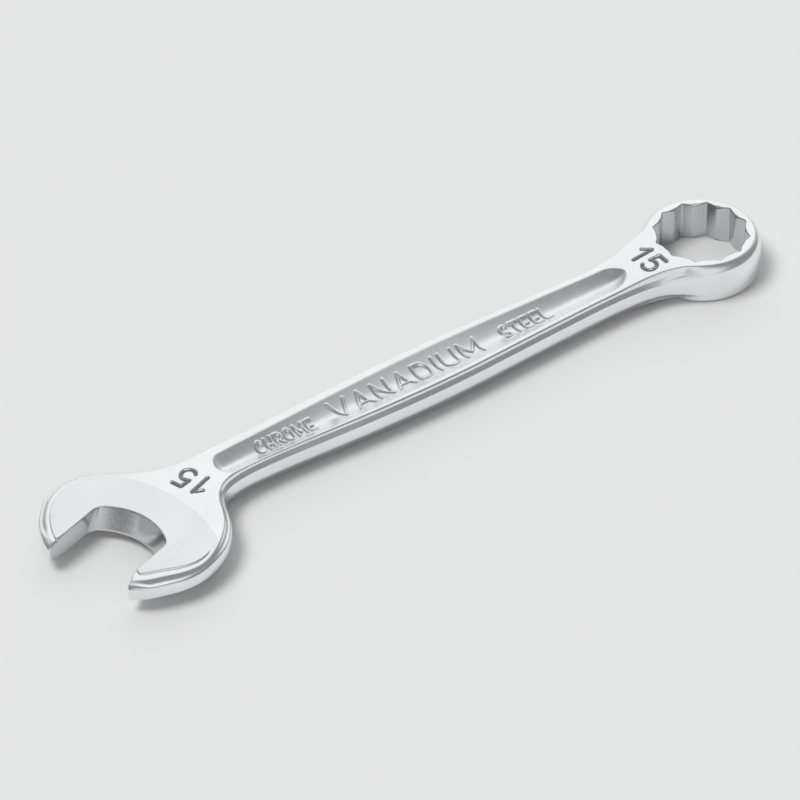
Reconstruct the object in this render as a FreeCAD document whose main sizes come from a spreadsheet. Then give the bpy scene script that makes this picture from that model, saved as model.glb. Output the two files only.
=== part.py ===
# Combination wrench, 15 mm across flats, one drop forging.
# The forging is divided into three closed solids that meet face to face:
#   open_end_head  flat-faced C-shaped head with the angled 15 mm jaw
#   shank          bar with convex sides and a long concave channel on each face
#   ring_head      round boss with a broached 12-point socket
# Frame: origin at the centre of the ring socket, on the middle plane of the
# tool. +X points away from the open end, +Z is the socket axis, and the middle
# plane z = 0 is a plane of symmetry. Millimetres.
import FreeCAD, Part
import math
import os
import Sketcher

V = FreeCAD.Vector
doc = FreeCAD.newDocument("combination_wrench")

# ------------------------------------------------------------ driving sizes
sheet = doc.addObject("Spreadsheet::Sheet", "sizes")
SIZES = [
    ("across_flats", 15.0),        # jaw gap and socket, nominal
    ("ring_offset_x", 124.3),      # ring centre measured from the drawing datum
    ("head_thick", 4.2),           # open-end head, face to face
    ("rim_radius", 1.85),          # round rim of the open-end head
    ("jaw_angle", 17.6),           # jaw direction against the shank
    ("jaw_datum_x", 1.421),        # point of the jaw centreline at its datum
    ("jaw_datum_y", -4.480),
    ("throat_apex", 3.75),         # deepest point of the throat along the jaw
    ("throat_radius", 11.5),
    ("mouth_run", 22.0),           # cut length towards the mouth
    ("jaw_cut_depth", 12.0),
    ("ring_outer_mid", 10.45),     # ring wall, largest radius at mid height
    ("ring_outer_top", 9.65),      # ring wall, radius at the two end faces
    ("ring_half_height", 3.8),
    ("ring_edge", 0.55),
    ("socket_lead", 0.35),         # depth of the lead-in at each end
    ("socket_lead_radius", 8.72),
    ("channel_floor_end", 0.45),   # channel depth at its two ends
    ("channel_floor_mid", 1.15),   # channel depth along the shank
    ("node_cut_head", 19.5),       # plane between head and shank
    ("node_cut_ring", 109.0),      # plane between shank and ring
]
# Cross sections of the bar: station x, half width at the far edge, far bulge,
# near edge, near bulge, half thickness.
SECTIONS = {
    "sec_a": (19.5, 3.90, 4.70, 4.70, 5.60, 2.45),
    "sec_b": (24.0, 3.95, 4.65, 3.95, 4.75, 2.60),
    "sec_c": (40.0, 4.45, 5.10, 4.45, 5.10, 2.65),
    "sec_d": (60.0, 4.95, 5.60, 4.95, 5.60, 2.65),
    "sec_e": (80.0, 4.60, 5.25, 4.60, 5.25, 2.65),
    "sec_f": (100.0, 4.05, 4.70, 4.05, 4.70, 2.70),
    "sec_g": (109.0, 4.25, 4.90, 4.25, 4.90, 2.80),
    "sec_p": (113.0, 5.20, 5.90, 5.20, 5.90, 3.05),
    "sec_q": (117.0, 7.00, 7.70, 7.00, 7.70, 3.50),
    "sec_v": (121.0, 8.40, 9.00, 8.40, 9.00, 3.70),
    "sec_n": (9.0, 2.60, 3.20, 5.40, 6.00, 1.85),
}
PARTS = ("_x", "_far", "_farbulge", "_near", "_nearbulge", "_half")
# Channel cutter stations: x, half width, depth below the rail.
CHANNEL = {
    "cut_a": (21.2, 1.90, 0.45),
    "cut_b": (25.0, 2.95, 1.15),
    "cut_c": (40.0, 3.55, 1.25),
    "cut_d": (60.0, 4.10, 1.30),
    "cut_e": (80.0, 3.75, 1.30),
    "cut_f": (100.0, 3.10, 1.20),
    "cut_g": (105.0, 2.60, 0.90),
    "cut_i": (107.2, 1.60, 0.35),
}
# Outline of the open-end head and its neck at the middle plane.
OUTLINE = [
    (-10.75, 0.30), (-11.00, 2.00), (-10.45, 4.20), (-8.80, 6.90),
    (-5.70, 10.20), (-2.80, 11.70), (0.06, 12.15), (2.50, 11.80),
    (5.66, 10.36), (8.66, 8.46), (10.80, 7.20), (12.80, 6.25),
    (15.20, 5.45), (17.40, 4.95), (19.50, 4.70),
    (19.50, -5.60), (18.40, -6.80), (17.45, -8.50), (16.80, -10.40),
    (15.30, -13.50), (12.50, -16.65), (9.34, -18.85), (6.06, -20.00),
    (2.60, -20.05), (-0.50, -19.30), (-3.20, -17.95), (-5.05, -16.35),
    (-5.55, -14.90),
]
row = 1
for name, value in SIZES:
    sheet.set("A%d" % row, name)
    sheet.set("B%d" % row, repr(value))
    sheet.setAlias("B%d" % row, name)
    row += 1
for name, vals in SECTIONS.items():
    for tail, value in zip(PARTS, vals):
        sheet.set("A%d" % row, name + tail)
        sheet.set("B%d" % row, repr(value))
        sheet.setAlias("B%d" % row, name + tail)
        row += 1
for name, vals in CHANNEL.items():
    for tail, value in zip(("_x", "_width", "_depth"), vals):
        sheet.set("A%d" % row, name + tail)
        sheet.set("B%d" % row, repr(value))
        sheet.setAlias("B%d" % row, name + tail)
        row += 1
for k, (px, py) in enumerate(OUTLINE):
    for tail, value in (("x", px), ("y", py)):
        alias = "outline_%s_%s" % ("abcdefghijklmnopqrstuvwxyz"[k // 26] +
                                   "abcdefghijklmnopqrstuvwxyz"[k % 26], tail)
        sheet.set("A%d" % row, alias)
        sheet.set("B%d" % row, repr(value))
        sheet.setAlias("B%d" % row, alias)
        row += 1
doc.recompute()


def num(alias):
    return float(getattr(sheet, alias))


def plane(body, role):
    for f in body.Origin.OriginFeatures:
        if f.Role == role:
            return f
    raise RuntimeError("no plane " + role)


def new_body(label):
    body = doc.addObject("PartDesign::Body", label)
    body.Label = label
    body.setExpression("Placement.Base.x", "-<<sizes>>.ring_offset_x")
    return body


def new_sketch(body, name, role):
    sk = body.newObject("Sketcher::SketchObject", name)
    sk.AttachmentSupport = [(plane(body, role), "")]
    sk.MapMode = "FlatFace"
    return sk


def check_cut(body, before, what):
    after = body.Shape.Volume
    print("%-28s %9.1f -> %9.1f mm3" % (what, before, after))
    if not after < before - 0.01:
        raise RuntimeError(what + " removed nothing")


# ------------------------------------------------------ shared section maker
# A section is a bar profile in a YZ plane: flat top and bottom, and a convex
# arc on each side. Every vertex is placed by constraints bound to the sheet.
def bar_section(body, name, sec):
    sk = new_sketch(body, name, "YZ_Plane")
    sk.setExpression("AttachmentOffset.Base.z", "<<sizes>>.%s_x" % sec)
    far, farb, near, nearb, half = [num(sec + t) for t in PARTS[1:]]

    def arc(p, q, r):
        return Part.Arc(V(*p, 0), V(*q, 0), V(*r, 0))
    sk.addGeometry(Part.LineSegment(V(-near, half, 0), V(far, half, 0)))
    sk.addGeometry(arc((far, half), (farb, 0), (far, -half)))
    sk.addGeometry(Part.LineSegment(V(far, -half, 0), V(-near, -half, 0)))
    sk.addGeometry(arc((-near, -half), (-nearb, 0), (-near, half)))
    C = Sketcher.Constraint
    sk.addConstraint(C("Horizontal", 0))
    sk.addConstraint(C("Horizontal", 2))

    def arc_end(geo, x, y):
        best = None
        for pos in (1, 2):
            p = sk.getPoint(geo, pos)
            d = abs(p.x - x) + abs(p.y - y)
            if best is None or d < best[0]:
                best = (d, pos)
        return best[1]
    sk.addConstraint(C("Coincident", 0, 2, 1, arc_end(1, far, half)))
    sk.addConstraint(C("Coincident", 2, 1, 1, arc_end(1, far, -half)))
    sk.addConstraint(C("Coincident", 2, 2, 3, arc_end(3, -near, -half)))
    sk.addConstraint(C("Coincident", 0, 1, 3, arc_end(3, -near, half)))

    def bound(kind, args, label, value, expr):
        i = sk.addConstraint(C(kind, *args, value))
        sk.renameConstraint(i, label)
        sk.setExpression("Constraints." + label, expr)
    bound("DistanceX", (-1, 1, 0, 2), "far", far, "<<sizes>>.%s_far" % sec)
    bound("DistanceX", (0, 1, -1, 1), "near", near, "<<sizes>>.%s_near" % sec)
    bound("DistanceY", (-1, 1, 0, 2), "up", half, "<<sizes>>.%s_half" % sec)
    bound("DistanceY", (2, 1, -1, 1), "down", half, "<<sizes>>.%s_half" % sec)
    sk.addConstraint(C("Vertical", 0, 2, 2, 1))
    sk.addConstraint(C("Vertical", 0, 1, 2, 2))
    bound("Radius", (1,), "far_side", (half ** 2 + (farb - far) ** 2) / (2 * (farb - far)),
          "(<<sizes>>.{0}_half ^ 2 + (<<sizes>>.{0}_farbulge - <<sizes>>.{0}_far) ^ 2)"
          " / (2 * (<<sizes>>.{0}_farbulge - <<sizes>>.{0}_far))".format(sec))
    bound("Radius", (3,), "near_side", (half ** 2 + (nearb - near) ** 2) / (2 * (nearb - near)),
          "(<<sizes>>.{0}_half ^ 2 + (<<sizes>>.{0}_nearbulge - <<sizes>>.{0}_near) ^ 2)"
          " / (2 * (<<sizes>>.{0}_nearbulge - <<sizes>>.{0}_near))".format(sec))
    return sk


def loft(body, name, sketches, cut=False):
    f = body.newObject("PartDesign::SubtractiveLoft" if cut else
                       "PartDesign::AdditiveLoft", name)
    f.Profile = (sketches[0], [""])
    f.Sections = [(s, [""]) for s in sketches[1:]]
    f.Ruled = False
    f.Closed = False
    return f


# One lens-shaped cutter section, in a YZ plane above the bar's flat face.
def lens_section(body, name, cut, rail):
    sk = new_sketch(body, name, "YZ_Plane")
    sk.setExpression("AttachmentOffset.Base.z", "<<sizes>>.%s_x" % cut)
    w, d = num(cut + "_width"), num(cut + "_depth")
    top = rail + 0.45
    wt = w + 0.25
    sk.addGeometry(Part.LineSegment(V(-wt, top, 0), V(wt, top, 0)))
    arc = Part.Arc(V(wt, top, 0), V(0, rail - d, 0), V(-wt, top, 0))
    sk.addGeometry(arc)
    return sk


# ------------------------------------------------------------------- shank
shank = new_body("shank")
names = ["sec_a", "sec_b", "sec_c", "sec_d", "sec_e", "sec_f", "sec_g"]
sks = [bar_section(shank, "shank_" + n, n) for n in names]
doc.recompute()
shank_bar = loft(shank, "shank_bar", sks)
doc.recompute()
v0 = shank.Shape.Volume
rails = [2.55, 2.60, 2.65, 2.65, 2.65, 2.70, 2.72, 2.76]
lens = [lens_section(shank, "shank_" + c, c, r)
        for c, r in zip(CHANNEL, rails)]
doc.recompute()
channel_top = loft(shank, "channel_top", lens, cut=True)
doc.recompute()
check_cut(shank, v0, "upper channel")
v1 = shank.Shape.Volume
channel_low = shank.newObject("PartDesign::Mirrored", "channel_low")
channel_low.Originals = [channel_top]
channel_low.MirrorPlane = (plane(shank, "XY_Plane"), [""])
shank.Tip = channel_low
doc.recompute()
check_cut(shank, v1, "lower channel")

# ----------------------------------------------------------- open-end head
head = new_body("open_end_head")
sk = new_sketch(head, "head_outline", "XY_Plane")
pts = [V(num("outline_a%s_x" % "abcdefghijklmnopqrstuvwxyz"[k]) if k < 26 else
         num("outline_b%s_x" % "abcdefghijklmnopqrstuvwxyz"[k - 26]),
         num("outline_a%s_y" % "abcdefghijklmnopqrstuvwxyz"[k]) if k < 26 else
         num("outline_b%s_y" % "abcdefghijklmnopqrstuvwxyz"[k - 26]), 0)
       for k in range(len(OUTLINE))]
far_side = Part.BSplineCurve()
far_side.interpolate(pts[:15])
near_side = Part.BSplineCurve()
near_side.interpolate(pts[15:])
sk.addGeometry(far_side)
sk.addGeometry(Part.LineSegment(pts[14], pts[15]))
sk.addGeometry(near_side)
sk.addGeometry(Part.LineSegment(pts[-1], pts[0]))
doc.recompute()
head_plate = head.newObject("PartDesign::Pad", "head_plate")
head_plate.Profile = sk
head_plate.setExpression("Length", "<<sizes>>.head_thick")
head_plate.Midplane = True
doc.recompute()

# Round rim all round the plate's outline.
edges = []
cut_x = num("node_cut_head")
for i, e in enumerate(head.Shape.Edges):
    c = e.BoundBox
    if abs(abs(c.ZMin) - 2.1) < 1e-4 and abs(c.ZMax - c.ZMin) < 1e-4 and \
            c.XLength > 1e-3:
        edges.append("Edge%d" % (i + 1))
rim = None
if edges:
    rim = head.newObject("PartDesign::Fillet", "head_rim")
    rim.Base = (head_plate, edges)
    rim.setExpression("Radius", "<<sizes>>.rim_radius")
    doc.recompute()
    if "Invalid" in rim.State or "Error" in rim.State:
        raise RuntimeError("rim failed")

# Neck: rises from the thin head to the full section of the bar.
s1 = bar_section(head, "neck_thin", "sec_n")
s2 = bar_section(head, "neck_full", "sec_a")
doc.recompute()
neck = loft(head, "head_neck", [s1, s2])
doc.recompute()

# Jaw: two flats 15 mm apart and a round throat.
jaw = new_sketch(head, "jaw_profile", "XY_Plane")
af, apex, rt, run = [num(a) for a in
                     ("across_flats", "throat_apex", "throat_radius", "mouth_run")]
h2 = af / 2
ang = math.asin(h2 / rt)
cx = apex - rt
sx = cx + rt * math.cos(ang)
jaw.addGeometry(Part.LineSegment(V(-run, h2, 0), V(sx, h2, 0)))
jaw.addGeometry(Part.ArcOfCircle(Part.Circle(V(cx, 0, 0), V(0, 0, 1), rt), -ang, ang))
jaw.addGeometry(Part.LineSegment(V(sx, -h2, 0), V(-run, -h2, 0)))
jaw.addGeometry(Part.LineSegment(V(-run, -h2, 0), V(-run, h2, 0)))
C = Sketcher.Constraint
jaw.addConstraint(C("Coincident", 0, 2, 1, 2))
jaw.addConstraint(C("Coincident", 1, 1, 2, 1))
jaw.addConstraint(C("Coincident", 2, 2, 3, 1))
jaw.addConstraint(C("Coincident", 3, 2, 0, 1))
jaw.addConstraint(C("Horizontal", 0))
jaw.addConstraint(C("Horizontal", 2))
jaw.addConstraint(C("Vertical", 3))
jaw.addConstraint(C("PointOnObject", 1, 3, -1))
i = jaw.addConstraint(C("DistanceY", 2, 2, 0, 1, af))
jaw.renameConstraint(i, "gap")
jaw.setExpression("Constraints.gap", "<<sizes>>.across_flats")
i = jaw.addConstraint(C("DistanceY", -1, 1, 0, 1, h2))
jaw.renameConstraint(i, "half_gap")
jaw.setExpression("Constraints.half_gap", "<<sizes>>.across_flats / 2")
i = jaw.addConstraint(C("Radius", 1, rt))
jaw.renameConstraint(i, "throat")
jaw.setExpression("Constraints.throat", "<<sizes>>.throat_radius")
i = jaw.addConstraint(C("DistanceX", 1, 3, -1, 1, -cx))
jaw.renameConstraint(i, "throat_centre")
jaw.setExpression("Constraints.throat_centre", "<<sizes>>.throat_radius - <<sizes>>.throat_apex")
i = jaw.addConstraint(C("DistanceX", 0, 1, -1, 1, run))
jaw.renameConstraint(i, "mouth")
jaw.setExpression("Constraints.mouth", "<<sizes>>.mouth_run")
jaw.setExpression("AttachmentOffset.Base.x", "<<sizes>>.jaw_datum_x")
jaw.setExpression("AttachmentOffset.Base.y", "<<sizes>>.jaw_datum_y")
jaw.setExpression("AttachmentOffset.Rotation.Angle", "<<sizes>>.jaw_angle")
doc.recompute()
v0 = head.Shape.Volume
jaw_cut = head.newObject("PartDesign::Pocket", "jaw_cut")
jaw_cut.Profile = jaw
jaw_cut.setExpression("Length", "<<sizes>>.jaw_cut_depth")
jaw_cut.Midplane = True
doc.recompute()
check_cut(head, v0, "jaw")

# --------------------------------------------------------------- ring head
ring = new_body("ring_head")
s = [bar_section(ring, "ring_" + n, n) for n in ("sec_g", "sec_p", "sec_q", "sec_v")]
doc.recompute()
ring_neck = loft(ring, "ring_neck", s)
doc.recompute()

# Boss: a turned ring whose outer wall is fullest at mid height.
prof = new_sketch(ring, "boss_profile", "XZ_Plane")
prof.setExpression("AttachmentOffset.Base.x", "<<sizes>>.ring_offset_x")
ro, rtop, hh, red = [num(a) for a in
                     ("ring_outer_mid", "ring_outer_top", "ring_half_height", "ring_edge")]
zt = hh - red
prof.addGeometry(Part.LineSegment(V(0, -hh, 0), V(rtop - red, -hh, 0)))
prof.addGeometry(Part.Arc(V(rtop - red, -hh, 0),
                          V(rtop - red * (1 - math.sin(math.radians(45))),
                            -hh + red * (1 - math.cos(math.radians(45))), 0),
                          V(rtop, -zt, 0)))
prof.addGeometry(Part.Arc(V(rtop, -zt, 0), V(ro, 0, 0), V(rtop, zt, 0)))
prof.addGeometry(Part.Arc(V(rtop, zt, 0),
                          V(rtop - red * (1 - math.sin(math.radians(45))),
                            hh - red * (1 - math.cos(math.radians(45))), 0),
                          V(rtop - red, hh, 0)))
prof.addGeometry(Part.LineSegment(V(rtop - red, hh, 0), V(0, hh, 0)))
prof.addGeometry(Part.LineSegment(V(0, hh, 0), V(0, -hh, 0)))
doc.recompute()
boss = ring.newObject("PartDesign::Revolution", "boss")
boss.Profile = prof
boss.ReferenceAxis = (prof, ["V_Axis"])
boss.Angle = 360.0
doc.recompute()

# Broached 12-point socket: two hexagons turned 30 degrees against each other.
top = ring.Shape.Volume
for k, turn in enumerate((15.0, 45.0)):
    before = ring.Shape.Volume
    hexa = ring.newObject("PartDesign::SubtractivePrism", "socket_hexagon_%d" % (k + 1))
    hexa.Polygon = 6
    hexa.setExpression("Circumradius", "<<sizes>>.across_flats / 2 / cos(30 deg)")
    hexa.setExpression("Height", "<<sizes>>.ring_half_height * 2 + 2")
    hexa.AttachmentSupport = [(plane(ring, "XY_Plane"), "")]
    hexa.MapMode = "FlatFace"
    hexa.AttachmentOffset = FreeCAD.Placement(V(0, 0, 0), FreeCAD.Rotation(V(0, 0, 1), turn))
    hexa.setExpression("AttachmentOffset.Base.x", "<<sizes>>.ring_offset_x")
    hexa.setExpression("AttachmentOffset.Base.z", "-<<sizes>>.ring_half_height - 1")
    doc.recompute()
    check_cut(ring, before, "socket hexagon %d" % (k + 1))

# Lead-in at both mouths of the socket.
for k, sign in enumerate((1, -1)):
    before = ring.Shape.Volume
    cone = ring.newObject("PartDesign::SubtractiveCone", "lead_in_%d" % (k + 1))
    cone.AttachmentSupport = [(plane(ring, "XY_Plane"), "")]
    cone.MapMode = "FlatFace"
    cone.AttachmentOffset = FreeCAD.Placement(
        V(0, 0, 0), FreeCAD.Rotation(V(1, 0, 0), 0 if sign > 0 else 180))
    cone.setExpression("AttachmentOffset.Base.x", "<<sizes>>.ring_offset_x")
    cone.setExpression("AttachmentOffset.Base.z", "%s(<<sizes>>.ring_half_height"
                       " - <<sizes>>.socket_lead * 2)" % ("" if sign > 0 else "-"))
    cone.setExpression("Radius1", "<<sizes>>.socket_lead_radius - <<sizes>>.socket_lead * 2")
    cone.setExpression("Radius2", "<<sizes>>.socket_lead_radius")
    cone.setExpression("Height", "<<sizes>>.socket_lead * 2")
    doc.recompute()
    check_cut(ring, before, "lead-in %d" % (k + 1))

# ------------------------------------------------------------------ output
doc.recompute()
bad = [o.Name for o in doc.Objects
       if "Invalid" in o.State or "Error" in o.State]
if bad:
    raise RuntimeError("failed objects: %s" % bad)
os.makedirs("parts", exist_ok=True)
bodies = [head, shank, ring]
for b in bodies:
    s = b.Shape
    if s.isNull() or not s.isValid() or len(s.Solids) != 1:
        raise RuntimeError("%s: bad shape (%d solids)" % (b.Label, len(s.Solids)))
for a in range(len(bodies)):
    for c in range(a + 1, len(bodies)):
        common = bodies[a].Shape.common(bodies[c].Shape).Volume
        print("overlap %s / %s: %.5f mm3" % (bodies[a].Label, bodies[c].Label, common))
        if common > 0.01:
            raise RuntimeError("pieces overlap")
for b in bodies:
    b.Shape.exportStep("parts/%s.step" % b.Label)
    bb = b.Shape.BoundBox
    print("%-14s volume %8.1f  x %.2f..%.2f  y %.2f..%.2f  z %.2f..%.2f" % (
        b.Label, b.Shape.Volume, bb.XMin, bb.XMax, bb.YMin, bb.YMax, bb.ZMin, bb.ZMax))
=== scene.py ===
import math
import bpy
import numpy as np
from mathutils import Matrix, Vector


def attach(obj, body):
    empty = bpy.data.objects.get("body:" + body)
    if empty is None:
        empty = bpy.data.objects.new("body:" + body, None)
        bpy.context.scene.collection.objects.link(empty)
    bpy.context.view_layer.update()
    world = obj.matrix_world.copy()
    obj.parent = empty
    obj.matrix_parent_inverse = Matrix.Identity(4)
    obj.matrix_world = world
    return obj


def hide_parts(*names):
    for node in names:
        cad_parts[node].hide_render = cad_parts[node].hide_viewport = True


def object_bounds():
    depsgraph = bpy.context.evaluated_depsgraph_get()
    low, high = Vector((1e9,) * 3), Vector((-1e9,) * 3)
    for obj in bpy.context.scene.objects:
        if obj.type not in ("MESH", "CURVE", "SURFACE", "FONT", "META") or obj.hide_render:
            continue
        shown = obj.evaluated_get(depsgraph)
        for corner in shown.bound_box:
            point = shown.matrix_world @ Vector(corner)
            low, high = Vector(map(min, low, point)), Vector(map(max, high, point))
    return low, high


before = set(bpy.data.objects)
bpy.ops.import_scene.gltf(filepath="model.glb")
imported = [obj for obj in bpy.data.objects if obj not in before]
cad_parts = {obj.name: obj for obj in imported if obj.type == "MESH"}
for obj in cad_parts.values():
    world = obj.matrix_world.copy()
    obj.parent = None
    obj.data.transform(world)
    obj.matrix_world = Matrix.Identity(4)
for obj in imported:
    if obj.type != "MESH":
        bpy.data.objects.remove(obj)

cad_lo, cad_hi = [tuple(v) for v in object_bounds()]
VOX = 0.145      # mm, sampling of the forging's surface
RING_X = 124.3                          # ring centre in the drawing datum, mm


# ---------------------------------------------------------------- curve tools
def through(points, per=10):
    """Smooth open curve through the points (centripetal Catmull-Rom)."""
    p = np.array(points, float)
    p = np.vstack([2 * p[0] - p[1], p, 2 * p[-1] - p[-2]])
    out = []
    for i in range(1, len(p) - 2):
        p0, p1, p2, p3 = p[i - 1:i + 3]
        t0 = 0.0
        t1 = t0 + np.linalg.norm(p1 - p0) ** 0.5
        t2 = t1 + np.linalg.norm(p2 - p1) ** 0.5
        t3 = t2 + np.linalg.norm(p3 - p2) ** 0.5
        for t in np.linspace(t1, t2, per, endpoint=False):
            a1 = (t1 - t) / (t1 - t0) * p0 + (t - t0) / (t1 - t0) * p1
            a2 = (t2 - t) / (t2 - t1) * p1 + (t - t1) / (t2 - t1) * p2
            a3 = (t3 - t) / (t3 - t2) * p2 + (t - t2) / (t3 - t2) * p3
            b1 = (t2 - t) / (t2 - t0) * a1 + (t - t0) / (t2 - t0) * a2
            b2 = (t3 - t) / (t3 - t1) * a2 + (t - t1) / (t3 - t1) * a3
            out.append((t2 - t) / (t2 - t1) * b1 + (t - t1) / (t2 - t1) * b2)
    out.append(p[-2])
    return np.array(out)


def polygon_sdf(X, Y, poly):
    """Signed distance from the grid points to a closed polygon, negative inside."""
    a = np.asarray(poly, float)
    b = np.roll(a, -1, axis=0)
    x, y = X.ravel(), Y.ravel()
    d = np.full(x.size, 1e9)
    inside = np.zeros(x.size, bool)
    for (ax, ay), (bx, by) in zip(a, b):
        ex, ey = bx - ax, by - ay
        L = ex * ex + ey * ey
        if L < 1e-12:
            continue
        wx, wy = x - ax, y - ay
        t = np.clip((wx * ex + wy * ey) / L, 0, 1)
        np.minimum(d, (wx - t * ex) ** 2 + (wy - t * ey) ** 2, out=d)
        if ay != by:
            c = (ay <= y) != (by <= y)
            inside ^= c & (x < ax + (y - ay) / ey * ex)
    d = np.sqrt(d)
    return np.where(inside, -d, d).reshape(X.shape)


def stroke_distance(X, Y, strokes, reach=1.2):
    """Distance to the nearest of some open polylines."""
    d = np.full(X.shape, 9.0)
    for s in strokes:
        s = np.asarray(s, float)
        lo, hi = s.min(0) - reach, s.max(0) + reach
        m = (X >= lo[0]) & (X <= hi[0]) & (Y >= lo[1]) & (Y <= hi[1])
        if not m.any():
            continue
        x, y, dm = X[m], Y[m], d[m]
        for (ax, ay), (bx, by) in zip(s[:-1], s[1:]):
            ex, ey = bx - ax, by - ay
            L = max(ex * ex + ey * ey, 1e-12)
            t = np.clip(((x - ax) * ex + (y - ay) * ey) / L, 0, 1)
            dm = np.minimum(dm, np.hypot(x - ax - t * ex, y - ay - t * ey))
        d[m] = dm
    return d


def smin(a, b, k):
    h = np.clip(0.5 + 0.5 * (b - a) / k, 0, 1)
    return b * (1 - h) + a * h - k * h * (1 - h)


def smax(a, b, k):
    return -smin(-a, -b, k)


def ease(x, a, b):
    t = np.clip((x - a) / (b - a), 0, 1)
    return t * t * (3 - 2 * t)


# ------------------------------------------------------------ plain letterforms
def arc(cx, cy, rx, ry, a0, a1, n=12):
    t = np.radians(np.linspace(a0, a1, n))
    return [(cx + rx * math.cos(v), cy + ry * math.sin(v)) for v in t]


GLYPH = {   # unit box, 0..w wide and 0..1 tall, plain single strokes
    "1": (0.34, [[(0.02, 0.68), (0.34, 1.0), (0.34, 0.0)]]),
    "5": (0.66, [[(0.60, 1.0), (0.12, 1.0), (0.06, 0.54)] +
                 arc(0.32, 0.31, 0.31, 0.31, 118, -145, 18)]),
    "C": (0.62, [arc(0.36, 0.5, 0.34, 0.5, 42, 318, 18)]),
    "H": (0.60, [[(0.03, 0), (0.03, 1)], [(0.57, 0), (0.57, 1)], [(0.03, 0.5), (0.57, 0.5)]]),
    "R": (0.60, [[(0.03, 0), (0.03, 1), (0.32, 1)] + arc(0.32, 0.76, 0.25, 0.24, 90, -90, 10) +
                 [(0.03, 0.52)], [(0.30, 0.52), (0.60, 0.0)]]),
    "O": (0.72, [arc(0.36, 0.5, 0.34, 0.5, 0, 360, 26)]),
    "M": (0.78, [[(0.03, 0), (0.03, 1), (0.39, 0.35), (0.75, 1), (0.75, 0)]]),
    "E": (0.54, [[(0.54, 0), (0.03, 0), (0.03, 1), (0.54, 1)], [(0.03, 0.5), (0.46, 0.5)]]),
    "V": (0.68, [[(0.0, 1), (0.34, 0), (0.68, 1)]]),
    "A": (0.68, [[(0.0, 0), (0.34, 1), (0.68, 0)], [(0.13, 0.34), (0.55, 0.34)]]),
    "N": (0.62, [[(0.03, 0), (0.03, 1), (0.59, 0), (0.59, 1)]]),
    "D": (0.64, [[(0.03, 0), (0.03, 1), (0.28, 1)] + arc(0.28, 0.5, 0.34, 0.5, 90, -90, 14) +
                 [(0.03, 0)]]),
    "I": (0.08, [[(0.04, 0), (0.04, 1)]]),
    "U": (0.62, [[(0.03, 1), (0.03, 0.3)] + arc(0.31, 0.3, 0.28, 0.3, 180, 360, 12) +
                 [(0.59, 1)]]),
    "S": (0.58, [arc(0.30, 0.75, 0.26, 0.25, 40, 270, 12) + arc(0.28, 0.25, 0.28, 0.25, 90, -140, 12)]),
    "T": (0.60, [[(0.0, 1), (0.60, 1)], [(0.30, 1), (0.30, 0)]]),
    "L": (0.50, [[(0.03, 1), (0.03, 0), (0.50, 0)]]),
}


def lettering(text, origin, along, up, tall, span=None, gap=0.24, squeeze=1.0):
    """Strokes of a word whose middle is at origin; span fits it to a width."""
    widths = [GLYPH[c][0] * squeeze for c in text]
    total = sum(widths) + gap * (len(text) - 1)
    sx = tall if span is None else span / total
    x = -total / 2
    out = []
    o, a, u = np.array(origin, float), np.array(along, float), np.array(up, float)
    for c, w in zip(text, widths):
        for s in GLYPH[c][1]:
            out.append([tuple(o + a * (x + px * squeeze) * sx + u * (py - 0.5) * tall)
                        for px, py in s])
        x += w + gap
    return out


# ---------------------------------------------------------------- the forging
JA = math.radians(17.6)
JU = (math.cos(JA), math.sin(JA))
JV = (-math.sin(JA), math.cos(JA))
JD = (1.421, -4.480)                    # jaw centreline datum

FAR = [(-10.90, -1.70), (-11.45, -0.65), (-11.42, 0.75), (-11.02, 2.35), (-10.22, 4.40),
       (-8.80, 7.02), (-5.80, 10.33),
       (-2.85, 11.88), (0.06, 12.38), (2.55, 12.08), (5.72, 10.65), (8.70, 8.72),
       (10.80, 7.35), (12.80, 6.30), (15.20, 5.42), (17.40, 4.96), (20.0, 4.74),
       (24, 4.70), (32, 4.95), (40, 5.30), (50, 5.75), (60, 6.02), (70, 6.08),
       (80, 5.78), (90, 5.52), (100, 5.18), (105, 5.25), (109, 5.68), (112, 6.50),
       (114.5, 7.20), (117, 8.15), (119.5, 9.1), (122, 9.5), (125.5, 9.0)]
NEAR = [(125.5, -9.0), (122, -9.5), (119.5, -9.1), (117, -8.15), (114.5, -6.80),
        (112, -5.75), (109, -5.08), (105, -4.78), (100, -4.72), (90, -5.05), (80, -5.48),
        (70, -5.90), (60, -5.95), (50, -5.65), (40, -5.10), (32, -4.66), (26, -4.60),
        (22.5, -4.95), (20.5, -5.60), (19.0, -6.85), (18.0, -8.50), (17.30, -10.40),
        (15.70, -13.60), (12.75, -16.90), (9.45, -19.10), (6.06, -20.15), (2.60, -20.18),
        (-0.55, -19.42), (-3.45, -18.45), (-5.10, -17.42), (-6.25, -16.40), (-6.60, -15.35), (-6.30, -14.10)]


NUMERALS = []
CHAN_X = [20, 25, 30, 40, 50, 60, 70, 80, 90, 100, 108]
CHAN_W = [2.60, 2.85, 3.02, 3.40, 3.78, 4.05, 4.08, 3.75, 3.36, 2.98, 2.60]
CHAN_Y = [-0.95, -0.85, -0.78, -0.60, -0.45, -0.30, -0.20, -0.10, -0.03, 0, 0]
FACE_C, FACE_R = (-13.67, -9.02), 26.23  # centre and radius of the ground disc


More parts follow.
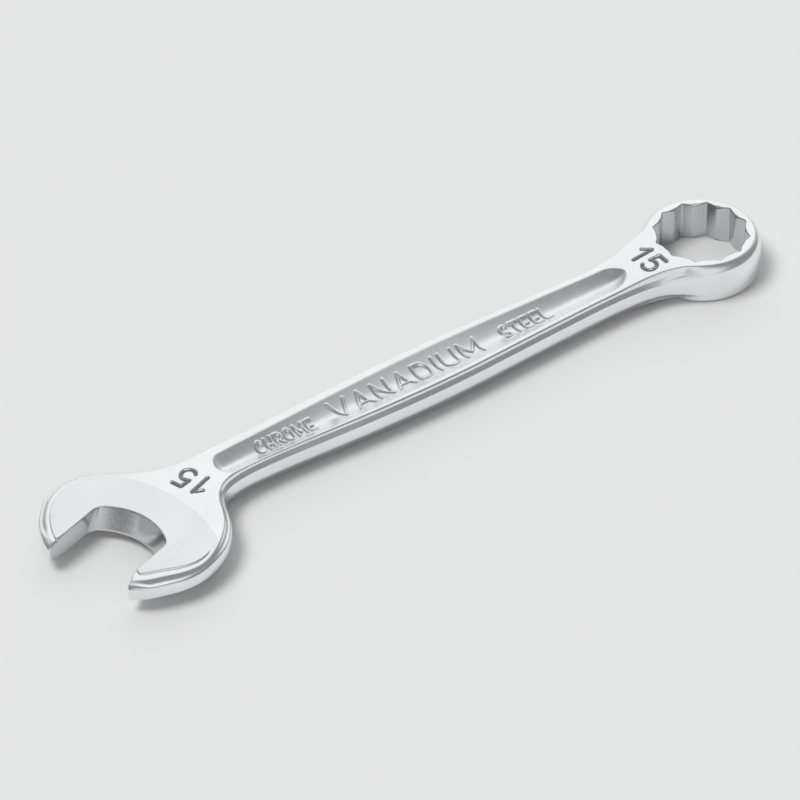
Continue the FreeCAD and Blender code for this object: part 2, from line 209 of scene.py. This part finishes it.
def fields(X, Y):
    """Plan fields of the forging, one value per column of the grid."""
    f = {}
    outline = np.vstack([through(FAR, 7), through(NEAR, 7)])
    poly = polygon_sdf(X, Y, outline)
    R = np.hypot(X - RING_X, Y)
    f["R"] = R
    f["out"] = smin(poly, R - 10.45, 1.2)
    # inset of the upper edge from the widest outline, rounding of the side
    lower_lip = ease(9 - X, 0, 10) * ease(-Y, 10, 13)
    f["inset"] = 1.25 - 0.42 * ease(X, 9, 22) + 0.70 * ease(X, 110, 122) + 0.75 * lower_lip
    js = (X - JD[0]) * JU[0] + (Y - JD[1]) * JU[1]
    nose = ease(-js, 7.6, 9.6)
    bar = ease(X, 15, 27)
    f["side"] = 1.24 + 0.22 * bar + 1.44 * ease(X, 111, 121) + 0.30 * nose
    f["round"] = 0.25 + 0.10 * bar + 0.45 * ease(X, 112, 121) + 0.45 * nose
    f["bulge"] = 0.14 + 0.16 * bar
    f["cove"] = 1.10 + 0.15 * bar
    f["slim"] = 0.44 * ease(14 - X, 0, 6) * ease(-Y, 8, 12) + \
        0.10 * bar * (1 - ease(X, 108, 116)) * ease(-Y, 0, 3)
    # half thickness of the upper body
    base = 1.68 + 0.42 * ease(X, 6.5, 11.5) + 0.052 * np.clip(X - 11.5, 0, 10.6)
    f["top"] = base + 1.16 * ease(X, 101.0, 117.5)
    f["low"] = base + 0.25 * ease(X, 104, 114)
    # ground face of the open-end head
    f["face"] = f["out"] + 1.98 + 1.45 * lower_lip
    # jaw: 15 mm between the flats; the lower lip's mouth opens out a little
    f["js"] = (X - JD[0]) * JU[0] + (Y - JD[1]) * JU[1]
    f["jq"] = (X - JD[0]) * JV[0] + (Y - JD[1]) * JV[1]
    f["lip"] = 0.12 + 0.42 * ease(-f["js"], 6.5, 9.5)
    # twelve-point socket: two hexagons 30 degrees apart
    star = None
    for turn in (15, 45):
        h = None
        for k in range(3):
            a = math.radians(turn + 30 + 60 * k)
            e = np.abs((X - RING_X) * math.cos(a) + Y * math.sin(a)) - 7.5
            h = e if h is None else smax(h, e, 0.12)
        star = h if star is None else smin(star, h, 0.22)
    f["star"] = star
    # channel on each face of the shank
    w, yc = np.interp(X, CHAN_X, CHAN_W), np.interp(X, CHAN_X, CHAN_Y)
    f["chan_w"], f["chan_y"] = w, yc
    # raised words in the channel, and the sunk size numerals
    words = lettering("CHROME", (35.2, -0.42), (1, 0), (0, 1), 2.7, span=11.2)
    words += lettering("VANADIUM", (60.4, -0.10), (1, 0), (0, 1), 3.9, span=30.5)
    words += lettering("STEEL", (85.6, 0.02), (1, 0), (0, 1), 2.9, span=10.0)
    f["words"] = stroke_distance(X, Y, words)
    num = []
    ou, ov = 14.9, -6.10
    o = (JU[0] * ou + JV[0] * ov, JU[1] * ou + JV[1] * ov)
    num += lettering("15", o, JV, (-JU[0], -JU[1]), 4.15, gap=0.46, squeeze=0.94)
    num += lettering("15", (112.1, -0.30), (0, -1), (1, 0), 4.1, gap=0.40)
    f["num"] = stroke_distance(X, Y, num)
    NUMERALS[:] = num
    return f


def volume(f, z, side):
    """The solid's field on one z layer; side is +1 for the upper half."""
    a = abs(z)
    out = f["out"]
    # A: the widest body, with a full round side
    r = f["round"]
    qx, qz = out + f["slim"] + f["bulge"] * (a / f["side"]) ** 2.4 + r, a - f["side"] + r
    A = np.minimum(np.maximum(qx, qz), 0) + np.hypot(np.maximum(qx, 0), np.maximum(qz, 0)) - r
    # B: the upper body, inset, with a small edge radius
    rb = 0.36
    hb = f["top"] if side > 0 else f["low"]
    qx, qz = out + f["inset"] + rb, a - hb + rb
    B = np.minimum(np.maximum(qx, qz), 0) + np.hypot(np.maximum(qx, 0), np.maximum(qz, 0)) - rb
    F = smin(A, B, f["cove"])
    # ring boss, standing clear of the neck on the lower side
    rr, ro = (1.60, 10.45) if side > 0 else (0.60, 10.62)
    qx, qz = f["R"] - ro + rr, a - 3.80 + rr
    D = np.minimum(np.maximum(qx, qz), 0) + np.hypot(np.maximum(qx, 0), np.maximum(qz, 0)) - rr
    F = smin(F, D, 0.8 if side > 0 else 0.40)
    F = smax(F, a - 3.80, 0.10)
    # ground face of the head, a little proud of the rim
    rc = 0.07
    qx, qz = f["face"] + rc, a - 2.10 + rc
    Cc = np.minimum(np.maximum(qx, qz), 0) + np.hypot(np.maximum(qx, 0), np.maximum(qz, 0)) - rc
    F = np.minimum(F, np.where(f["X"] < 15, Cc, 9.0))
    # channel
    e = np.abs(f["Yc"]) / f["chan_w"]
    el = np.clip((23.0 - f["X"]) / 2.1, 0, 3)
    er = np.clip((f["X"] - 103.6) / 3.7, 0, 3)
    vee = (np.sqrt(np.minimum(e, 3) ** 2 + 0.03) - 0.173) / 0.842
    dep = 1.40 * (1 - vee ** 1.15 - el ** 2.6 - er ** 2.2)
    word = 0.34 * (1 - ease(f["words"], 0.06, 0.36)) * ease(dep, 0.12, 0.50)
    hc = hb - dep + word
    F = smax(F, (a - hc) * 0.86, 0.16)
    # numerals
    hn = hb + 0.06 - 0.42 * (1 - ease(f["num"], 0.14, 0.42))
    F = np.maximum(F, np.where(f["num"] < 0.6, a - hn, -9))
    # jaw and socket
    sj, qj = f["js"] + 1.87 * np.clip((2.1 - z) / 4.2, 0, 1), f["jq"]
    slot = np.where((f["js"] < -7.4) & (qj < 0), (-qj - 7.5 - 0.32 * (-7.4 - f["js"])) * 0.95, np.abs(qj) - 7.5)
    rt, apex = 11.5, 3.75
    jaw = np.where(sj > apex - rt, smax(slot, np.hypot(sj - (apex - rt), qj) - rt, 0.9), slot)
    F = smax(F, -jaw, f["lip"])
    lead = (f["R"] - 8.15 + np.maximum(3.80 - a, 0) * 1.1) * 0.67
    bore = np.minimum(f["star"], lead)
    F = smax(F, -bore, 0.10)
    return F


def surface_nets(F):
    inside = F < 0
    n = [s - 1 for s in F.shape]
    cnt = np.zeros(n, np.uint8)
    for i in (0, 1):
        for j in (0, 1):
            for k in (0, 1):
                cnt += inside[i:i + n[0], j:j + n[1], k:k + n[2]]
    mixed = (cnt > 0) & (cnt < 8)
    idx = np.full(n, -1, np.int32)
    I, J, K = np.nonzero(mixed)
    idx[mixed] = np.arange(len(I))
    acc, num = np.zeros((len(I), 3)), np.zeros(len(I))
    for ax in range(3):
        for u in (0, 1):
            for v in (0, 1):
                a = [0, 0, 0]
                o = [q for q in range(3) if q != ax]
                a[o[0]], a[o[1]] = u, v
                b = list(a)
                b[ax] = 1
                fa = F[I + a[0], J + a[1], K + a[2]]
                fb = F[I + b[0], J + b[1], K + b[2]]
                m = (fa < 0) != (fb < 0)
                t = np.zeros(len(I))
                t[m] = fa[m] / (fa[m] - fb[m])
                p = np.tile(np.array(a, float), (len(I), 1))
                p[:, ax] = t
                acc[m] += p[m]
                num[m] += 1
    verts = acc / num[:, None] + np.stack([I, J, K], 1)
    quads = []
    for ax in range(3):
        sa = [slice(1, -1)] * 3
        sb = [slice(1, -1)] * 3
        sa[ax], sb[ax] = slice(0, -1), slice(1, None)
        A, B = inside[tuple(sa)], inside[tuple(sb)]
        E = np.argwhere(A != B)
        flip = A[tuple(E.T)]
        E = E.copy()
        for q in range(3):
            if q != ax:
                E[:, q] += 1
        o = [(ax + 1) % 3, (ax + 2) % 3]

        def cell(d0, d1):
            c = E.copy()
            c[:, o[0]] -= d0
            c[:, o[1]] -= d1
            return idx[c[:, 0], c[:, 1], c[:, 2]]
        q = np.stack([cell(1, 1), cell(0, 1), cell(0, 0), cell(1, 0)], 1)
        q[~flip] = q[~flip][:, ::-1]
        quads.append(q)
    return verts, np.vstack(quads)


def sample(G, v):
    i = np.clip(np.floor(v).astype(int), 0, np.array(G.shape) - 2)
    t = v - i
    out = 0
    for a in (0, 1):
        for b in (0, 1):
            for c in (0, 1):
                w = (t[:, 0] if a else 1 - t[:, 0]) * (t[:, 1] if b else 1 - t[:, 1]) * \
                    (t[:, 2] if c else 1 - t[:, 2])
                out = out + w * G[i[:, 0] + a, i[:, 1] + b, i[:, 2] + c]
    return out


def forge():
    lo, hi = np.array([-12.6, -21.6, -4.5]), np.array([136.2, 13.6, 4.5])
    n = np.ceil((hi - lo) / VOX).astype(int) + 1
    n[2] += n[2] % 2                       # no layer on the middle plane
    xs, ys = lo[0] + VOX * np.arange(n[0]), lo[1] + VOX * np.arange(n[1])
    zs = (np.arange(n[2]) - (n[2] - 1) / 2) * VOX
    X, Y = np.meshgrid(xs, ys, indexing="ij")
    up = fields(X, Y)
    up["X"], up["Yc"] = X, Y - up["chan_y"]
    # the lower face carries the same marks, readable once the tool is turned over
    down = dict(up)
    turned = fields(X, -Y)
    down["words"], down["num"] = turned["words"], turned["num"]
    F = np.empty(tuple(n), np.float32)
    for k, z in enumerate(zs):
        F[:, :, k] = volume(up if z > 0 else down, z, 1 if z > 0 else -1)
    v, q = surface_nets(F)
    g = [gg.astype(np.float32) for gg in np.gradient(F)]
    for _ in range(2):
        G = np.stack([sample(gg, v) for gg in g], 1)
        step = sample(F, v)[:, None] * G / np.maximum((G ** 2).sum(1), 1e-6)[:, None]
        L = np.linalg.norm(step, axis=1, keepdims=True)
        v = v - step * np.minimum(1, 0.4 / np.maximum(L, 1e-9))
    N = np.stack([sample(gg, v) for gg in g], 1)
    N /= np.maximum(np.linalg.norm(N, axis=1, keepdims=True), 1e-9)
    P = np.stack([xs[0] + v[:, 0] * VOX, ys[0] + v[:, 1] * VOX, zs[0] + v[:, 2] * VOX], 1)
    return P, q, N


def mesh_object(name, P, q, N):
    me = bpy.data.meshes.new(name)
    me.vertices.add(len(P))
    me.vertices.foreach_set("co", P.astype(np.float32).ravel())
    me.loops.add(q.size)
    me.loops.foreach_set("vertex_index", q.astype(np.int32).ravel())
    me.polygons.add(len(q))
    me.polygons.foreach_set("loop_start", np.arange(0, q.size, 4, dtype=np.int32))
    me.update(calc_edges=True)
    me.validate()
    me.polygons.foreach_set("use_smooth", np.ones(len(me.polygons), bool))
    if len(me.vertices) == len(P):
        me.normals_split_custom_set_from_vertices([tuple(v) for v in N])
    ob = bpy.data.objects.new(name, me)
    bpy.context.scene.collection.objects.link(ob)
    return ob


# ------------------------------------------------------------------ materials
def chrome(name, colour, rough, rough_var, grain, grain_scale, bump, streak=None):
    mat = bpy.data.materials.new(name)
    mat.use_nodes = True
    nt = mat.node_tree
    nodes, link = nt.nodes, nt.links.new
    bsdf = nodes["Principled BSDF"]
    bsdf.inputs["Metallic"].default_value = 1.0
    tc = nodes.new("ShaderNodeTexCoord")
    # slow tone variation of the plate
    n1 = nodes.new("ShaderNodeTexNoise")
    n1.inputs["Scale"].default_value = 90
    n1.inputs["Detail"].default_value = 3
    link(tc.outputs["Object"], n1.inputs["Vector"])
    ramp = nodes.new("ShaderNodeValToRGB")
    ramp.color_ramp.elements[0].position = 0.3
    ramp.color_ramp.elements[0].color = (colour[0] * 0.93, colour[1] * 0.93, colour[2] * 0.94, 1)
    ramp.color_ramp.elements[1].position = 0.7
    ramp.color_ramp.elements[1].color = (*colour, 1)
    link(n1.outputs["Fac"], ramp.inputs["Fac"])
    link(ramp.outputs["Color"], bsdf.inputs["Base Color"])
    # roughness: patchy polish with a fine tumbled grain
    mp = nodes.new("ShaderNodeMapping")
    mp.inputs["Scale"].default_value = streak or (1, 1, 1)
    link(tc.outputs["Object"], mp.inputs["Vector"])
    n2 = nodes.new("ShaderNodeTexNoise")
    n2.inputs["Scale"].default_value = grain_scale
    n2.inputs["Detail"].default_value = 5
    n2.inputs["Roughness"].default_value = 0.6
    link(mp.outputs["Vector"], n2.inputs["Vector"])
    mr = nodes.new("ShaderNodeMapRange")
    mr.inputs["From Min"].default_value = 0.3
    mr.inputs["From Max"].default_value = 0.7
    mr.inputs["To Min"].default_value = rough - rough_var
    mr.inputs["To Max"].default_value = rough + rough_var
    link(n2.outputs["Fac"], mr.inputs["Value"])
    link(mr.outputs["Result"], bsdf.inputs["Roughness"])
    n3 = nodes.new("ShaderNodeTexNoise")
    n3.inputs["Scale"].default_value = grain
    n3.inputs["Detail"].default_value = 3
    link(mp.outputs["Vector"], n3.inputs["Vector"])
    bp = nodes.new("ShaderNodeBump")
    bp.inputs["Strength"].default_value = bump
    bp.inputs["Distance"].default_value = 0.00005
    link(n3.outputs["Fac"], bp.inputs["Height"])
    link(bp.outputs["Normal"], bsdf.inputs["Normal"])
    return mat


m_body = chrome("plated_forging", (0.93, 0.935, 0.94), 0.19, 0.04, 900, 700, 0.10)
m_face = chrome("ground_face", (0.87, 0.875, 0.88), 0.27, 0.05, 1400, 900, 0.14,
                streak=(0.25, 2.2, 1.0))
m_bore = chrome("broached_wall", (0.66, 0.665, 0.67), 0.12, 0.02, 1500, 900, 0.12,
                streak=(2.0, 2.0, 0.15))

P, quads, N = forge()
Pm = (P - np.array([RING_X, 0, 0])) / 1000.0
m_chan = chrome("channel_skin", (0.93, 0.935, 0.94), 0.29, 0.04, 900, 700, 0.10)
# painted shade: a dark grey colour on the floors of the sunk numerals, standing in for the shade inside the
# grooves
m_numeral_painted_shade = chrome("numeral_painted_shade", (0.33, 0.33, 0.335), 0.40, 0.05, 900, 700, 0.0)
wrench = mesh_object("combination_wrench", Pm, quads, N)
for m in (m_body, m_face, m_bore, m_numeral_painted_shade, m_chan):
    wrench.data.materials.append(m)
me = wrench.data
nf = len(me.polygons)
cen = np.empty(nf * 3)
me.polygons.foreach_get("center", cen)
cen = cen.reshape(-1, 3) * 1000 + np.array([RING_X, 0, 0])
nor = np.empty(nf * 3)
me.polygons.foreach_get("normal", nor)
nor = nor.reshape(-1, 3)
slot = np.zeros(nf, np.int32)
slot[(np.hypot(cen[:, 0] - FACE_C[0], cen[:, 1] - FACE_C[1]) < FACE_R) & (np.abs(cen[:, 2]) > 2.03) &
     (np.abs(nor[:, 2]) > 0.97)] = 1
rr = np.hypot(cen[:, 0] - RING_X, cen[:, 1])
slot[(rr < 8.72) & (np.abs(nor[:, 2]) < 0.6)] = 2
js = (cen[:, 0] - JD[0]) * JU[0] + (cen[:, 1] - JD[1]) * JU[1]
jq = (cen[:, 0] - JD[0]) * JV[0] + (cen[:, 1] - JD[1]) * JV[1]
slot[(np.abs(jq) < 7.56) & (js < 3.85) & (np.abs(nor[:, 2]) < 0.5) & (cen[:, 0] < 12)] = 2
wide = np.interp(cen[:, 0], CHAN_X, CHAN_W)
mid = np.interp(cen[:, 0], CHAN_X, CHAN_Y)
slot[(cen[:, 0] > 21.0) & (cen[:, 0] < 107.4) & (np.abs(cen[:, 1] - mid) < wide * 0.97) &
     (np.abs(nor[:, 2]) > 0.4) & (np.abs(cen[:, 2]) < 2.62)] = 4
# faces in the sunk numerals take slot 3, the dark painted shade that stands in for the shade in the grooves
for up in (1, -1):
    sel = np.nonzero((nor[:, 2] * up > 0.25) & (np.abs(cen[:, 2]) > 1.2) &
                     (((cen[:, 0] > 9) & (cen[:, 0] < 20)) | ((cen[:, 0] > 108) & (cen[:, 0] < 116))))[0]
    dist_num = stroke_distance(cen[sel, 0], cen[sel, 1] * up, NUMERALS)
    slot[sel[dist_num < 0.23]] = 3
me.polygons.foreach_set("material_index", slot)

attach(wrench, "root")
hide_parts("open_end_head", "shank", "ring_head")

# ----------------------------------------------------------------------- stage
floor_z = cad_lo[2]


def plain(name, colour, rough):
    mat = bpy.data.materials.new(name)
    mat.use_nodes = True
    b = mat.node_tree.nodes["Principled BSDF"]
    b.inputs["Base Color"].default_value = (*colour, 1)
    b.inputs["Roughness"].default_value = rough
    b.inputs["Specular IOR Level"].default_value = 0.2
    return mat


fm = bpy.data.meshes.new("floor")
S = 6.0
fm.from_pydata([(-S, -S, floor_z), (S, -S, floor_z), (S, S, floor_z), (-S, S, floor_z)], [],
               [(0, 1, 2, 3)])
fm.materials.append(plain("floor_pale", (0.80, 0.80, 0.80), 0.7))
floor = bpy.data.objects.new("floor", fm)
bpy.context.scene.collection.objects.link(floor)

world = bpy.data.worlds.new("studio")
bpy.context.scene.world = world
world.use_nodes = True
wn = world.node_tree
bg = wn.nodes["Background"]
wtc = wn.nodes.new("ShaderNodeTexCoord")


def lobe(direction, stops):
    """Brightness falling off with the angle from one direction."""
    dot = wn.nodes.new("ShaderNodeVectorMath")
    dot.operation = "DOT_PRODUCT"
    dot.inputs[1].default_value = direction
    wn.links.new(wtc.outputs["Generated"], dot.inputs[0])
    ramp = wn.nodes.new("ShaderNodeValToRGB")
    ramp.color_ramp.interpolation = "EASE"
    while len(ramp.color_ramp.elements) < len(stops):
        ramp.color_ramp.elements.new(0.5)
    for e, (q, v) in zip(ramp.color_ramp.elements, stops):
        e.position = q
        e.color = (v * 0.985, v * 0.992, v, 1)
    wn.links.new(dot.outputs["Value"], ramp.inputs["Fac"])
    return ramp.outputs["Color"]


soft = lobe((0.462, 0.664, 0.588), [(0.0, 0.27), (0.45, 0.27), (0.62, 0.34), (0.766, 0.58), (0.866, 0.84), (0.95, 0.98)])
fill = lobe((-0.307, -0.853, 0.423), [(0.0, 0.0), (0.74, 0.0), (0.86, 0.14), (0.93, 0.42), (0.98, 0.52)])
add = wn.nodes.new("ShaderNodeVectorMath")
add.operation = "ADD"
wn.links.new(soft, add.inputs[0])
wn.links.new(fill, add.inputs[1])
wn.links.new(add.outputs["Vector"], bg.inputs["Color"])
bg.inputs["Strength"].default_value = 1.0


key = bpy.data.lights.new("key", "SUN")
key.energy = 1.75
key.angle = math.radians(28)
key_ob = bpy.data.objects.new("key", key)
key_ob.rotation_mode = "QUATERNION"
key_ob.rotation_quaternion = Vector((0.42, -0.20, -1.0)).to_track_quat("-Z", "Y")
key_ob.visible_glossy = False
bpy.context.scene.collection.objects.link(key_ob)

bpy.context.scene.view_settings.view_transform = "Standard"

# ---------------------------------------------------------------------- camera
az, el, roll, dist = math.radians(-34.80), math.radians(40.25), math.radians(-0.74), 682.43
T = np.array([58.51, -0.58, -1.57])
back = np.array([math.sin(az) * math.cos(el), -math.cos(az) * math.cos(el), math.sin(el)])
C = T + back * dist
right = np.cross(-back, [0, 0, 1])
right /= np.linalg.norm(right)
upv = np.cross(right, -back)
r2 = right * math.cos(roll) + upv * math.sin(roll)
u2 = -right * math.sin(roll) + upv * math.cos(roll)
eps = 0.00424
Rm = np.array([[1, 0, eps], [0, 1, 0], [-eps, 0, 1]])
C = Rm @ (C - np.array([0, 0, 0.063]))
B = Rm @ np.stack([r2, u2, back], 1)
B, _ = np.linalg.qr(B)
B *= np.sign(np.sum(B * (Rm @ np.stack([r2, u2, back], 1)), axis=0))
C = (C - np.array([RING_X, 0, 0])) / 1000.0
M = Matrix.Identity(4)
for i in range(3):
    for j in range(3):
        M[i][j] = B[i, j]
    M[i][3] = C[i]
cam_data = bpy.data.cameras.new("camera")
cam_data.sensor_width = 36
cam_data.lens = 180
cam_data.clip_start, cam_data.clip_end = 0.01, 20
cam = bpy.data.objects.new("camera", cam_data)
cam.matrix_world = M
bpy.context.scene.collection.objects.link(cam)
bpy.context.scene.camera = cam

bpy.context.view_layer.update()
